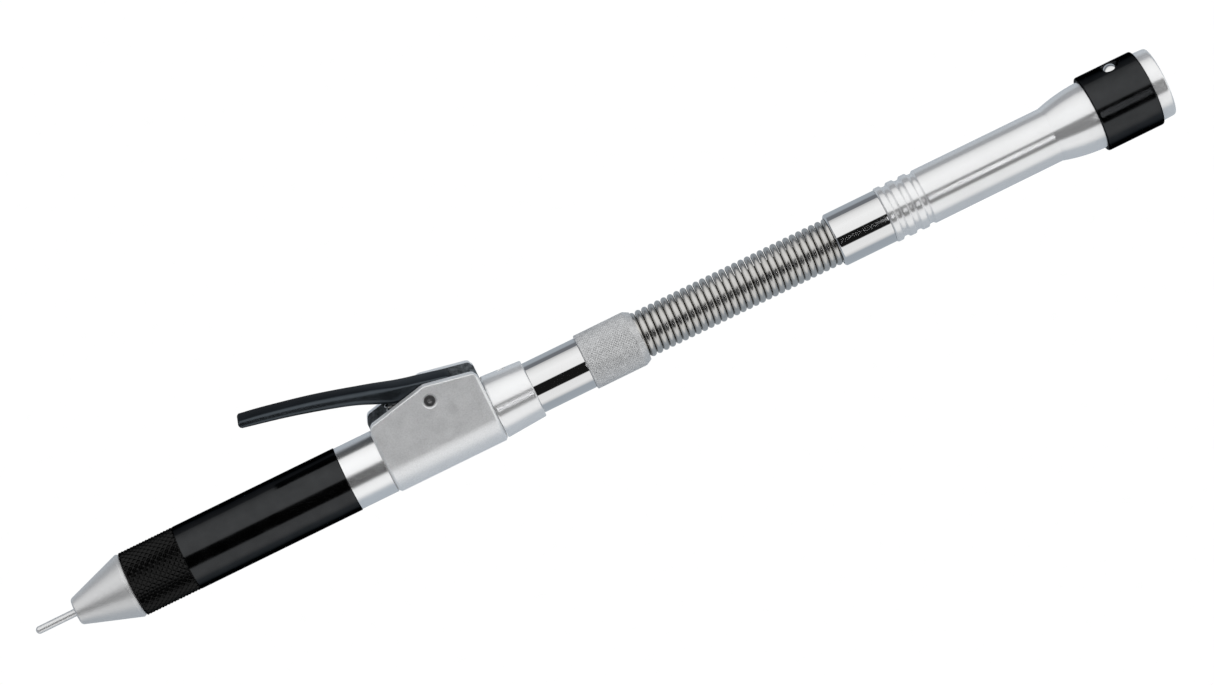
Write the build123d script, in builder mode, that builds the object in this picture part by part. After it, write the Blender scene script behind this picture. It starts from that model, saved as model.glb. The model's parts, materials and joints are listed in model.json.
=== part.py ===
from build123d import *
import os

# Lever-collet handpiece with a flexible spring neck.
#
# Units are millimetres. The spindle axis is the X axis and +X points out of the nose. The tool lies on its
# side: the lever rises towards -Y and one cheek of the lever block faces up, towards +Z.
# The origin is on the axis at the nose's front face. Lengths along the tool are given as stations, the
# distance behind that face, so a station s lies at x = -s. A height is a distance from the axis towards -Y.

# ---- driving dimensions: outside stations, from the nose back ----
nose_end = 12.6
grip_end = 60.2
block_front = 68.4
block_rear = 92.6
collar_end = 101.4
tube_end = 113.0
nut_end = 125.2
ferrule_front = 168.4
ferrule_end = 179.8
bell_front = 216.8
band_front = 226.0
band_end = 238.4
tool_end = 241.4
pin_reach = 8.9

# ---- driving dimensions: outside radii ----
nose_tip_radius = 2.9
grip_radius = 6.86
barrel_radius = 6.7
block_radius = 7.0
collar_rear_radius = 6.15
tube_radius = 5.4
nut_radius = 5.9
ferrule_radius = 5.62
rib_radius = 5.9
handle_radius = 5.8
bell_radius = 7.2
band_radius = 8.08
end_ring_radius = 7.4

# ---- fits ----
assembly_gap = 0.02
running_gap = 0.04
end_gap = 0.05

# ---- walls and shoulders inside the barrel ----
barrel_tube_radius = 5.9
barrel_bore = 4.7
thread_radius = 5.5
barrel_end = 98.0
shoulder_radius = 3.4
spacer_radius = 4.97
spacer_bore = 4.2

# ---- ball bearings, one thin-section size throughout: 6 x 10 x 3 ----
bearing_bore = 3.0
bearing_outer = 5.0
bearing_width = 3.0
ball_radius = 0.6
ball_pitch_radius = 4.0
ball_count = 11
front_bearing = 18.0
rear_bearing = 89.5
tail_bearing = 196.0

# ---- drive line inside the barrel ----
pin_radius = 0.8
shank_radius = 1.175
shank_end = 16.0
seat_front = 0.7
seat_rear = 5.5
seat_front_radius = 1.62
seat_rear_radius = 2.1
guide_radius = 1.25
spring_front = 40.0
spring_rear = 60.0
race_gap = 0.01
spindle_radius = bearing_bore - race_gap
spindle_end = 96.0
bar_end = 88.0
cross_pin_station = 84.6
cross_pin_radius = 0.5
release_travel = 1.36
cable_radius = 1.5
cable_front = 90.2
cable_end = 186.8

# ---- lever block, lever and pivot ----
cheek_gap = 8.8
lever_width = 7.8
toe_width = 4.8
window_width = 5.4
cheek_front_height = 7.6
cheek_corner_height = 9.0
cheek_peak = 82.0
cheek_peak_height = 11.7
cheek_rear = 91.8
cheek_rear_height = 9.7
slot_floor_height = 3.9
pivot_station = 81.9
pivot_height = 8.5
pivot_radius = 1.0
toe_height = 4.2
toe_root_height = 6.8
toe_radius = 0.9
lever_spring_station = 74.6
lever_spring_radius = 1.3
lever_spring_wire = 0.2
lever_spring_foot = 5.4
lever_spring_seat = 10.6

# ---- spring neck ----
neck_wire = 0.64
neck_coil_radius = 4.285
neck_pitch = 1.43
neck_turns = 37
neck_front = 120.3

# ---- rear socket and detent ball ----
socket_radius = 4.75
socket_front = 213.0
spigot_radius = 7.0
detent_station = 232.8
detent_ball_radius = 1.7
detent_ball_centre = 6.47
detent_tilt = 14.0


def turned(outside, bore=(), mode=Mode.ADD):
    """Turned body on the tool's axis, from (station, radius) pairs along its outside and along its bore."""
    inner = bore if bore else ((outside[0][0], 0), (outside[-1][0], 0))
    with BuildSketch(Plane.XY) as half_section:
        Polygon(*[(-s, r) for s, r in (*outside, *reversed(inner))], align=None)
    revolve(half_section.sketch, axis=Axis.X, mode=mode)


def across(station, height, radius, half_length, mode):
    """Round bar or hole along Z at a station and a height above the axis."""
    with BuildSketch(Plane.XY) as section:
        with Locations((-station, -height)):
            Circle(radius)
    extrude(section.sketch, amount=half_length, both=True, mode=mode)


def edges_at(piece, station):
    """Circular edges of a piece that lie in the plane of one station."""
    return piece.edges().filter_by(GeomType.CIRCLE).filter_by_position(
        Axis.X, -station - 0.01, -station + 0.01
    )


def save(piece, name):
    """Labels a finished piece and writes it as one STEP file."""
    piece.part.label = name
    export_step(piece.part, f"parts/{name}.step")


os.makedirs("parts", exist_ok=True)

# ==== tool pin: a round-nosed working pin on the shank that the collet grips ====

shank_chamfer = 0.2
with BuildPart() as tool_pin:
    with BuildSketch(Plane.XY):
        with BuildLine():
            Polyline(
                (pin_reach, 0),
                (-shank_end, 0),
                (-shank_end, shank_radius - shank_chamfer),
                (-shank_end + shank_chamfer, shank_radius),
                (0, shank_radius),
                (0, pin_radius),
                (pin_reach - pin_radius, pin_radius),
            )
            RadiusArc((pin_reach - pin_radius, pin_radius), (pin_reach, 0), pin_radius)
        make_face()
    revolve(axis=Axis.X)
save(tool_pin, "tool_pin")

# ==== nose ====

nose_spigot_end = front_bearing
tip_chamfer = 0.3
cone_end = 11.8
mouth_end = 1.2
mouth_radius = 2.3
cone_bore = 3.0
seal_step = 6.0
seal_seat_radius = 4.0
with BuildPart() as nose_cone:
    turned(
        outside=(
            (0, nose_tip_radius - tip_chamfer),
            (tip_chamfer, nose_tip_radius),
            (cone_end, grip_radius),
            (nose_end, grip_radius),
            (nose_end, bearing_outer - assembly_gap),
            (nose_spigot_end, bearing_outer - assembly_gap),
        ),
        bore=(
            (0, mouth_radius),
            (mouth_end, mouth_radius),
            (mouth_end, cone_bore),
            (seal_step, cone_bore),
            (seal_step, seal_seat_radius),
            (nose_spigot_end, seal_seat_radius),
        ),
    )
save(nose_cone, "nose_cone")

seal_radius = seal_seat_radius - 0.03
seal_lip_radius = 2.85
seal_end = 8.0
with BuildPart() as dust_seal:
    turned(
        outside=((seal_step + end_gap, seal_radius), (seal_end, seal_radius)),
        bore=((seal_step + end_gap, seal_lip_radius), (seal_end, seal_lip_radius)),
    )
save(dust_seal, "dust_seal")

retainer_bore = 3.3
retainer_end = front_bearing - 0.1
with BuildPart() as seal_retainer:
    turned(
        outside=((seal_end + end_gap, seal_radius), (retainer_end, seal_radius)),
        bore=((seal_end + end_gap, retainer_bore), (retainer_end, retainer_bore)),
    )
save(seal_retainer, "seal_retainer")

# ==== grip and barrel ====

sleeve_bore = barrel_tube_radius + assembly_gap
with BuildPart() as grip_sleeve:
    turned(
        outside=((nose_end, grip_radius), (grip_end, grip_radius)),
        bore=((nose_end, sleeve_bore), (grip_end, sleeve_bore)),
    )
    chamfer(edges_at(grip_sleeve, grip_end).sort_by(SortBy.RADIUS)[-1], length=0.12)
save(grip_sleeve, "grip_sleeve")

window_middle = 82.8
window_length = 6.8
spring_pocket_radius = lever_spring_radius + 0.6
with BuildPart() as barrel:
    turned(
        outside=(
            (nose_end, barrel_tube_radius),
            (grip_end, barrel_tube_radius),
            (grip_end, barrel_radius),
            (block_front, barrel_radius),
            (block_front, barrel_tube_radius),
            (block_rear, barrel_tube_radius),
            (block_rear, thread_radius),
            (barrel_end, thread_radius),
        ),
        bore=(
            (nose_end, bearing_outer),
            (front_bearing + bearing_width, bearing_outer),
            (front_bearing + bearing_width, barrel_bore),
            (rear_bearing, barrel_bore),
            (rear_bearing, bearing_outer),
            (barrel_end, bearing_outer),
        ),
    )
    # window that the lever's toe reaches through
    with BuildSketch(Plane.XZ.offset(slot_floor_height)):
        with Locations((-window_middle, 0)):
            Rectangle(window_length, window_width)
    extrude(amount=barrel_radius - slot_floor_height, mode=Mode.SUBTRACT)
    # seat for the foot of the lever spring
    with BuildSketch(Plane.XZ.offset(lever_spring_foot)):
        with Locations((-lever_spring_station, 0)):
            Circle(spring_pocket_radius)
    extrude(amount=barrel_radius - lever_spring_foot, mode=Mode.SUBTRACT)
save(barrel, "barrel")

# ==== lever block: round back, two flat cheeks, a slot between them for the lever ====

slot_overrun = 1.0
countersink_radius = pivot_radius + 0.55
countersink_depth = 0.35
with BuildPart() as lever_block:
    with BuildSketch(Plane.YZ.offset(-block_rear)):
        Circle(block_radius)
    extrude(amount=block_rear - block_front)
    chamfer(edges_at(lever_block, block_front) + edges_at(lever_block, block_rear), length=0.4)
    # both cheeks as one slab, before the slot parts them
    with BuildSketch(Plane.XY):
        Polygon(
            (-block_front, 0),
            (-block_front, -cheek_front_height),
            (-block_front - 0.9, -cheek_corner_height),
            (-cheek_peak, -cheek_peak_height),
            (-cheek_rear, -cheek_rear_height),
            (-block_rear, -cheek_corner_height),
            (-block_rear, 0),
            align=None,
        )
    extrude(amount=block_radius, both=True)
    with BuildSketch(Plane.XY):
        Polygon(
            (-block_front + slot_overrun, -slot_floor_height),
            (-block_front + slot_overrun, -cheek_peak_height - slot_overrun),
            (-block_rear - slot_overrun, -cheek_peak_height - slot_overrun),
            (-block_rear - slot_overrun, -slot_floor_height),
            align=None,
        )
    extrude(amount=cheek_gap / 2, both=True, mode=Mode.SUBTRACT)
    turned(
        outside=((block_front - slot_overrun, sleeve_bore), (block_rear + slot_overrun, sleeve_bore)),
        mode=Mode.SUBTRACT,
    )
    across(pivot_station, pivot_height, pivot_radius + assembly_gap, block_radius, Mode.SUBTRACT)
    # shallow countersink round each end of the pivot pin
    for side in (1, -1):
        with BuildSketch(Plane.XY.offset(side * block_radius)):
            with Locations((-pivot_station, -pivot_height)):
                Circle(countersink_radius)
        extrude(amount=-side * countersink_depth, taper=45, mode=Mode.SUBTRACT)
save(lever_block, "lever_block")

with BuildPart() as pivot_pin:
    across(pivot_station, pivot_height, pivot_radius, block_radius - 0.15, Mode.ADD)
    chamfer(pivot_pin.edges().filter_by(GeomType.CIRCLE), length=0.2)
save(pivot_pin, "pivot_pin")

# ==== lever: a press bar with a heel that stops on the barrel and a toe that moves the collar ====

lever_end = 87.6
heel_height = 6.2
heel_front = 81.0
lever_tip_middle = (-45.1, -20.5)
lever_edge_radius = 0.5
seat_cut_start = 8.0
with BuildPart() as lever:
    with BuildSketch(Plane.XY):
        with BuildLine():
            # top line, from the tip back to the rear end inside the block
            top = Spline(
                (-45.6, -21.3),
                (-51.6, -20.5),
                (-61.6, -18.3),
                (-71.6, -15.5),
                (-77.6, -13.4),
                (-81.6, -12.3),
                (-87.2, -10.9),
            )
            # rear end, the heel's foot on the barrel, and the rise clear of the lever spring
            Polyline(
                top @ 1,
                (-lever_end, -10.4),
                (-lever_end, -heel_height),
                (-heel_front, -heel_height),
                (-79.6, -6.9),
                (-76.9, -9.8),
                (-72.4, -11.5),
            )
            # underside, out to the round tip
            under = Spline((-72.4, -11.5), (-66.6, -14.0), (-56.6, -17.0), (-45.9, -19.7))
            ThreePointArc(under @ 1, lever_tip_middle, top @ 0)
        make_face()
    extrude(amount=lever_width / 2, both=True)
    long_edges = lever.edges().filter_by(GeomType.BSPLINE)
    fillet(long_edges, radius=lever_edge_radius)
    with BuildSketch(Plane.XY):
        with Locations((-pivot_station, -toe_height)):
            Circle(toe_radius)
        with Locations((-pivot_station, -(toe_height + toe_root_height) / 2)):
            Rectangle(2 * toe_radius, toe_root_height - toe_height)
    extrude(amount=toe_width / 2, both=True)
    across(pivot_station, pivot_height, pivot_radius + running_gap, lever_width, Mode.SUBTRACT)
    # blind seat for the head of the lever spring
    with BuildSketch(Plane.XZ.offset(seat_cut_start)):
        with Locations((-lever_spring_station, 0)):
            Circle(spring_pocket_radius)
    extrude(amount=lever_spring_seat + 0.25 - seat_cut_start, mode=Mode.SUBTRACT)
save(lever, "lever")

spring_turns = 5
with BuildPart() as lever_spring:
    spring_height = lever_spring_seat - lever_spring_foot - 2 * (lever_spring_wire + end_gap)
    with BuildLine() as lever_coil:
        Helix(
            pitch=spring_height / spring_turns,
            height=spring_height,
            radius=lever_spring_radius,
            center=(-lever_spring_station, -lever_spring_foot - lever_spring_wire - end_gap, 0),
            direction=(0, -1, 0),
        )
    with BuildSketch(Plane(origin=lever_coil.line @ 0, z_dir=lever_coil.line % 0)):
        Circle(lever_spring_wire)
    sweep(is_frenet=True)
save(lever_spring, "lever_spring")

# ==== rear of the barrel ====

collar_front = block_rear + 0.1
collar_bore = 4.52
with BuildPart() as rear_collar:
    turned(
        outside=(
            (collar_front, barrel_radius - 0.1),
            (collar_front + 0.3, barrel_radius),
            (collar_end - 0.15, collar_rear_radius),
            (collar_end, collar_rear_radius - 0.2),
        ),
        bore=(
            (collar_front, thread_radius + assembly_gap),
            (barrel_end + end_gap, thread_radius + assembly_gap),
            (barrel_end + end_gap, collar_bore),
            (collar_end, collar_bore),
        ),
    )
save(rear_collar, "rear_collar")

tube_front = barrel_end + 2 * end_gap
tube_thread_end = 118.0
tube_thread_radius = 4.9
tube_bore = 3.2
with BuildPart() as rear_tube:
    turned(
        outside=(
            (tube_front, collar_bore - assembly_gap),
            (collar_end + assembly_gap, collar_bore - assembly_gap),
            (collar_end + assembly_gap, tube_radius),
            (tube_end, tube_radius),
            (tube_end, tube_thread_radius),
            (tube_thread_end, tube_thread_radius),
        ),
        bore=((tube_front, tube_bore), (tube_thread_end, tube_bore)),
    )
save(rear_tube, "rear_tube")

nut_front = tube_end + assembly_gap
nut_shoulder = tube_thread_end + end_gap
nut_eye = 3.9
spring_seat = 119.5
spring_pocket = 5.0
with BuildPart() as spring_nut:
    turned(
        outside=(
            (nut_front, nut_radius - 0.5),
            (nut_front + 0.48, nut_radius),
            (nut_end - 1.3, nut_radius),
            (nut_end, nut_radius - 0.7),
        ),
        bore=(
            (nut_front, tube_thread_radius + assembly_gap),
            (nut_shoulder, tube_thread_radius + assembly_gap),
            (nut_shoulder, nut_eye),
            (spring_seat, nut_eye),
            (spring_seat, spring_pocket),
            (nut_end, spring_pocket),
        ),
    )
save(spring_nut, "spring_nut")

# ==== spring neck ====

with BuildPart() as outer_spring:
    with BuildLine() as neck_coil:
        Helix(
            pitch=neck_pitch,
            height=neck_pitch * neck_turns,
            radius=neck_coil_radius,
            center=(-neck_front, 0, 0),
            direction=(-1, 0, 0),
            lefthand=True,
        )
    with BuildSketch(Plane(origin=neck_coil.line @ 0, z_dir=neck_coil.line % 0)):
        Circle(neck_wire)
    sweep(is_frenet=True)
save(outer_spring, "outer_spring")

liner_front = 116.0
liner_end = 178.0
liner_radius = 2.5
liner_bore = 1.8
with BuildPart() as neck_liner:
    turned(
        outside=((liner_front, liner_radius), (liner_end, liner_radius)),
        bore=((liner_front, liner_bore), (liner_end, liner_bore)),
    )
save(neck_liner, "neck_liner")

with BuildPart() as drive_cable:
    turned(outside=((cable_front, cable_radius), (cable_end, cable_radius)))
save(drive_cable, "drive_cable")

# ==== spindle, collet and draw bar ====

spindle_front = 0.6
seal_journal_radius = 2.8
seal_journal_front = 1.6
cable_socket_front = cable_front - 0.1
cable_socket_radius = cable_radius + assembly_gap
with BuildPart() as spindle:
    turned(
        outside=(
            (spindle_front, seat_rear_radius),
            (seal_journal_front, seat_rear_radius),
            (seal_journal_front, seal_journal_radius),
            (front_bearing - 0.3, seal_journal_radius),
            (front_bearing - 0.3, spindle_radius),
            (front_bearing + bearing_width, spindle_radius),
            (front_bearing + bearing_width, shoulder_radius),
            (spring_rear, shoulder_radius),
            (spring_rear, spindle_radius),
            (spindle_end, spindle_radius),
        ),
        bore=(
            (spindle_front, seat_front_radius),
            (seat_rear, seat_rear_radius),
            (spring_rear, seat_rear_radius),
            (spring_rear, guide_radius),
            (cable_socket_front, guide_radius),
            (cable_socket_front, cable_socket_radius),
            (spindle_end, cable_socket_radius),
        ),
    )
    # slot that the cross pin travels in
    with BuildSketch(Plane.XY):
        with Locations((-cross_pin_station - release_travel / 2, 0)):
            SlotOverall(
                release_travel + 2 * (cross_pin_radius + 0.05),
                2 * (cross_pin_radius + 0.03),
            )
    extrude(amount=bearing_outer, both=True, mode=Mode.SUBTRACT)
save(spindle, "spindle")

collet_guide_radius = seat_rear_radius - running_gap
collet_waist_front = 9.0
collet_waist_rear = 20.0
collet_waist_radius = 1.75
collet_end = 24.0
slit_end = 13.0
slit_width = 0.36
with BuildPart() as collet:
    turned(
        outside=(
            (seat_front, seat_front_radius - assembly_gap),
            (seat_rear, collet_guide_radius),
            (collet_waist_front, collet_guide_radius),
            (collet_waist_front, collet_waist_radius),
            (collet_waist_rear, collet_waist_radius),
            (collet_waist_rear, collet_guide_radius),
            (collet_end, collet_guide_radius),
        ),
        bore=((seat_front, shank_radius + assembly_gap), (collet_end, shank_radius + assembly_gap)),
    )
    # three spring slits from the mouth
    for angle in (90, 210, 330):
        with BuildSketch(Plane.XY.rotated((angle, 0, 0))):
            with Locations((-slit_end / 2, barrel_bore / 2)):
                Rectangle(slit_end, barrel_bore)
        extrude(amount=slit_width / 2, both=True, mode=Mode.SUBTRACT)
save(collet, "collet")

bar_front = 16.5
head_front = spring_front - 2.0
head_end = spring_front - assembly_gap
head_radius = seat_rear_radius - 0.05
rod_radius = guide_radius - 0.05
with BuildPart() as draw_bar:
    turned(
        outside=(
            (bar_front, shank_radius),
            (head_front, shank_radius),
            (head_front, head_radius),
            (head_end, head_radius),
            (head_end, rod_radius),
            (bar_end, rod_radius),
        )
    )
    across(cross_pin_station, 0, cross_pin_radius + assembly_gap, bearing_outer, Mode.SUBTRACT)
save(draw_bar, "draw_bar")

disc_pitch = 0.5
disc_thickness = 0.24
disc_rise = 0.22
disc_radius = 2.04
disc_count = round((spring_rear - spring_front) / disc_pitch) - 1
with BuildPart() as disc_springs:
    # coned discs stacked face to face, every second one turned round
    for index in range(disc_count):
        front = spring_front + 0.1 + index * disc_pitch
        rim_lean = 0 if index % 2 else disc_rise
        bore_lean = disc_rise - rim_lean
        turned(
            outside=((front + rim_lean, disc_radius), (front + rim_lean + disc_thickness, disc_radius)),
            bore=((front + bore_lean, guide_radius), (front + bore_lean + disc_thickness, guide_radius)),
        )
save(disc_springs, "disc_springs")

with BuildPart() as cross_pin:
    across(cross_pin_station, 0, cross_pin_radius, 4.4, Mode.ADD)
save(cross_pin, "cross_pin")

release_front = pivot_station + toe_radius + 0.1
release_end = release_front + 3.5
release_radius = 4.6
with BuildPart() as release_collar:
    turned(
        outside=((release_front, release_radius), (release_end, release_radius)),
        bore=((release_front, spindle_radius + running_gap), (release_end, spindle_radius + running_gap)),
    )
    across(cross_pin_station, 0, cross_pin_radius + assembly_gap, bearing_outer, Mode.SUBTRACT)
save(release_collar, "release_collar")

# ==== ball bearings: outer race, inner race, cage and balls ====


outer_race_bore = 4.42
inner_race_radius = 3.58
cage_half_width = 1.0
cage_outer = 4.15
cage_inner = 3.85


def ball_bearing(prefix, station):
    """One 6 x 10 x 3 bearing with its front face at a station, as four pieces."""
    rear = station + bearing_width
    middle = station + bearing_width / 2
    groove = ball_radius + 0.03

    with BuildPart() as outer_race:
        turned(
            outside=((station, bearing_outer - race_gap), (rear, bearing_outer - race_gap)),
            bore=((station, outer_race_bore), (rear, outer_race_bore)),
        )
        ball_track(middle, groove)
    save(outer_race, f"{prefix}_outer_race")

    with BuildPart() as inner_race:
        turned(
            outside=((station, inner_race_radius), (rear, inner_race_radius)),
            bore=((station, bearing_bore), (rear, bearing_bore)),
        )
        ball_track(middle, groove)
    save(inner_race, f"{prefix}_inner_race")

    ball_ring = Plane.YZ.offset(-middle)
    with BuildPart() as cage:
        turned(
            outside=((middle - cage_half_width, cage_outer), (middle + cage_half_width, cage_outer)),
            bore=((middle - cage_half_width, cage_inner), (middle + cage_half_width, cage_inner)),
        )
        with Locations(ball_ring):
            with PolarLocations(ball_pitch_radius, ball_count):
                Cylinder(groove, height=1.0, rotation=(0, 90, 0), mode=Mode.SUBTRACT)
    save(cage, f"{prefix}_cage")

    with BuildPart() as balls:
        with Locations(ball_ring):
            with PolarLocations(ball_pitch_radius, ball_count):
                Sphere(ball_radius)
    save(balls, f"{prefix}_balls")


def ball_track(middle, groove):
    """Groove that the balls run in, cut all the way round."""
    with BuildSketch(Plane.XY) as track:
        with Locations((-middle, ball_pitch_radius)):
            Circle(groove)
    revolve(track.sketch, axis=Axis.X, mode=Mode.SUBTRACT)


ball_bearing("front_bearing", front_bearing)
ball_bearing("rear_bearing", rear_bearing)
ball_bearing("tail_bearing", tail_bearing)

washer_front = rear_bearing + bearing_width + end_gap
washer_rise = 0.35
washer_thickness = 0.25
washer_bore = 3.9
with BuildPart() as preload_washer:
    turned(
        outside=((washer_front, spacer_radius), (washer_front + washer_thickness, spacer_radius)),
        bore=(
            (washer_front + washer_rise, washer_bore),
            (washer_front + washer_rise + washer_thickness, washer_bore),
        ),
    )
save(preload_washer, "preload_washer")

spacer_front = washer_front + washer_rise + washer_thickness + end_gap
with BuildPart() as rear_spacer:
    turned(
        outside=((spacer_front, spacer_radius), (barrel_end, spacer_radius)),
        bore=((spacer_front, spacer_bore), (barrel_end, spacer_bore)),
    )
save(rear_spacer, "rear_spacer")

# ==== tail: ferrule, ribbed handle tube with its bell, drive shaft ====

ferrule_pocket_end = 174.0
ferrule_spigot_end = 184.5
with BuildPart() as rear_ferrule:
    turned(
        outside=(
            (ferrule_front, ferrule_radius - 0.4),
            (ferrule_front + 0.4, ferrule_radius),
            (ferrule_end, ferrule_radius),
            (ferrule_end, bearing_outer - assembly_gap),
            (ferrule_spigot_end, bearing_outer - assembly_gap),
        ),
        bore=(
            (ferrule_front, spring_pocket),
            (ferrule_pocket_end, spring_pocket),
            (ferrule_pocket_end, tube_bore),
            (ferrule_spigot_end, tube_bore),
        ),
    )
save(rear_ferrule, "rear_ferrule")

rib_end = 188.6
rib_chamfer = 0.3
groove_stations = (182.0, 184.85, 187.7)
groove_radius = 0.8
bell_middle = (-220.8, 6.68)
handle_front = ferrule_end + assembly_gap
handle_bore = 4.3
bearing_rear = tail_bearing + bearing_width
counterbore_front = 235.4
counterbore_radius = end_ring_radius - 1.48
ball_lip_radius = 1.45
ball_seat_height = 5.05
with BuildPart() as tail_handle:
    with BuildSketch(Plane.XY):
        with BuildLine():
            bell = ThreePointArc(
                (-bell_front, handle_radius - 0.05),
                bell_middle,
                (-band_front, bell_radius),
            )
            Polyline(
                bell @ 1,
                (-band_front, spigot_radius - assembly_gap),
                (-band_end, spigot_radius - assembly_gap),
                (-band_end, counterbore_radius),
                (-counterbore_front, counterbore_radius),
                (-counterbore_front, socket_radius),
                (-socket_front, socket_radius),
                (-socket_front, handle_bore),
                (-bearing_rear, handle_bore),
                (-bearing_rear, bearing_outer),
                (-handle_front, bearing_outer),
                (-handle_front, rib_radius - rib_chamfer),
                (-handle_front - rib_chamfer, rib_radius),
                (-rib_end, rib_radius),
                (-rib_end - 0.1, handle_radius),
                bell @ 0,
            )
        make_face()
    revolve(axis=Axis.X)
    for station in groove_stations:
        with BuildSketch(Plane.XY):
            with Locations((-station, rib_radius + 0.35)):
                Circle(groove_radius)
        revolve(axis=Axis.X, mode=Mode.SUBTRACT)
    # stepped radial hole for the detent ball: a lip at the bore keeps the ball in
    detent_plane = Plane.XZ.rotated((-detent_tilt, 0, 0))
    for start, radius in (
        (socket_radius - 0.75, ball_lip_radius),
        (ball_seat_height, detent_ball_radius + running_gap),
    ):
        with BuildSketch(detent_plane.offset(start)):
            with Locations((-detent_station, 0)):
                Circle(radius)
        extrude(amount=spigot_radius + 1.0 - start, mode=Mode.SUBTRACT)
save(tail_handle, "tail_handle")

tail_spacer_front = ferrule_spigot_end + end_gap
tail_spacer_end = tail_bearing - end_gap
with BuildPart() as tail_spacer:
    turned(
        outside=((tail_spacer_front, spacer_radius), (tail_spacer_end, spacer_radius)),
        bore=((tail_spacer_front, spacer_bore), (tail_spacer_end, spacer_bore)),
    )
save(tail_spacer, "tail_spacer")

shaft_front = 181.0
shaft_end = 212.0
shaft_hub_radius = 2.6
shaft_stem_radius = 2.5
shoulder_end = bearing_rear + 1.2
key_slot_depth = 5.0
key_slot_width = 1.3
with BuildPart() as tail_shaft:
    turned(
        outside=(
            (shaft_front, shaft_hub_radius),
            (tail_bearing - 1.0, shaft_hub_radius),
            (tail_bearing - 1.0, spindle_radius),
            (bearing_rear, spindle_radius),
            (bearing_rear, shoulder_radius),
            (shoulder_end, shoulder_radius),
            (shoulder_end, shaft_stem_radius),
            (shaft_end - 0.3, shaft_stem_radius),
            (shaft_end, shaft_stem_radius - 0.3),
        )
    )
    turned(
        outside=((shaft_front, cable_socket_radius), (cable_end + 0.2, cable_socket_radius)),
        mode=Mode.SUBTRACT,
    )
    # slot that the flexible shaft's flat key drives
    with BuildSketch(Plane.XY):
        with Locations((-shaft_end, 0)):
            Rectangle(2 * key_slot_depth, key_slot_width)
    extrude(amount=bearing_outer, both=True, mode=Mode.SUBTRACT)
save(tail_shaft, "tail_shaft")

# ==== tail end: band, detent ball and end ring ====

band_rim_radius = 0.45
with BuildPart() as retaining_band:
    turned(
        outside=((band_front + assembly_gap, band_radius), (band_end, band_radius)),
        bore=((band_front + assembly_gap, spigot_radius), (band_end, spigot_radius)),
    )
    rims = retaining_band.edges().filter_by(GeomType.CIRCLE).group_by(SortBy.RADIUS)[-1]
    fillet(rims, radius=band_rim_radius)
    with BuildSketch(detent_plane.offset(spigot_radius - 1.0)):
        with Locations((-detent_station, 0)):
            Circle(detent_ball_radius - race_gap)
    extrude(amount=band_radius - spigot_radius + 2.0, mode=Mode.SUBTRACT)
save(retaining_band, "retaining_band")

# the ball stands lifted clear of the socket, as it does while the sheath's end passes under it
with BuildPart() as detent_ball:
    with Locations(detent_plane.offset(detent_ball_centre)):
        with Locations((-detent_station, 0, 0)):
            Sphere(detent_ball_radius)
save(detent_ball, "detent_ball")

ring_front = counterbore_front + end_gap
ring_spigot_radius = end_ring_radius - 1.5
ring_shoulder = band_end + assembly_gap
with BuildPart() as end_ring:
    turned(
        outside=(
            (ring_front, ring_spigot_radius),
            (ring_shoulder, ring_spigot_radius),
            (ring_shoulder, end_ring_radius + 0.05),
            (tool_end, end_ring_radius - 0.1),
        ),
        bore=((ring_front, socket_radius), (tool_end, socket_radius)),
    )
    fillet(edges_at(end_ring, tool_end).sort_by(SortBy.RADIUS)[-1], radius=0.6)
    chamfer(edges_at(end_ring, tool_end).sort_by(SortBy.RADIUS)[0], length=0.3)
save(end_ring, "end_ring")
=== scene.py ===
import json
import math

import bmesh
import bpy
import numpy as np
from mathutils import Matrix, Vector


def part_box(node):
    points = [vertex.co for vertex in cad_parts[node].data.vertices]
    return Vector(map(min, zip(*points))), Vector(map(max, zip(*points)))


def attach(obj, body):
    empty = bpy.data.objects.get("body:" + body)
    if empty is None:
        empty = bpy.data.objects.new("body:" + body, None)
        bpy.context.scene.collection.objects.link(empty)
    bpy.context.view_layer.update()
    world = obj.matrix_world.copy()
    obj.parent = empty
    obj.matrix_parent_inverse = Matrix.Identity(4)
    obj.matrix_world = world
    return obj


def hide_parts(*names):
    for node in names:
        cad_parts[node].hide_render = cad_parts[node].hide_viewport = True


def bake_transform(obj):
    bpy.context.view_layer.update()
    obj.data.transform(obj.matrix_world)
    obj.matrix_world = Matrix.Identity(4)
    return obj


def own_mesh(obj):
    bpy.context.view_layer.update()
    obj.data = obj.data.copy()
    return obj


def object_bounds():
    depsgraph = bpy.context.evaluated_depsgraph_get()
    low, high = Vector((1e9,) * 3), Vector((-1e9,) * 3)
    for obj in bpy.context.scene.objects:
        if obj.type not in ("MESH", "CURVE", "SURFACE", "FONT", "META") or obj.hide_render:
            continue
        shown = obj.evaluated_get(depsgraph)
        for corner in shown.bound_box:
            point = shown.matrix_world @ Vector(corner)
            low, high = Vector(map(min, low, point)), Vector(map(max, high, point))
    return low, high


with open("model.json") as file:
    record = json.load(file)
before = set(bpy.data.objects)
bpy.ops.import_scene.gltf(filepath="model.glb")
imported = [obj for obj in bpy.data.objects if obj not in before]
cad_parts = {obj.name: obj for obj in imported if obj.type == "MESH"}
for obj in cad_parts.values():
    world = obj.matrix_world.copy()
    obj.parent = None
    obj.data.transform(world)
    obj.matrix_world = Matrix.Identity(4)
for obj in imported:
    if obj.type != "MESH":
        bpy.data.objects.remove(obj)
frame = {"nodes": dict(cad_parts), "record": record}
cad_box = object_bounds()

# Looks of a lever-collet handpiece with a flexible spring neck.
#
# The spindle axis is X, with the nose towards +X and the lever towards -Y. Shapes are written in
# millimetres. A place along the tool is a station, its distance behind the nose's front face, so a station s
# lies at x = -s. Outlines of turned pieces are (station, radius) pairs, with a third number where a corner
# has a radius of its own. A height is a distance from the axis towards the lever.

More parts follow.
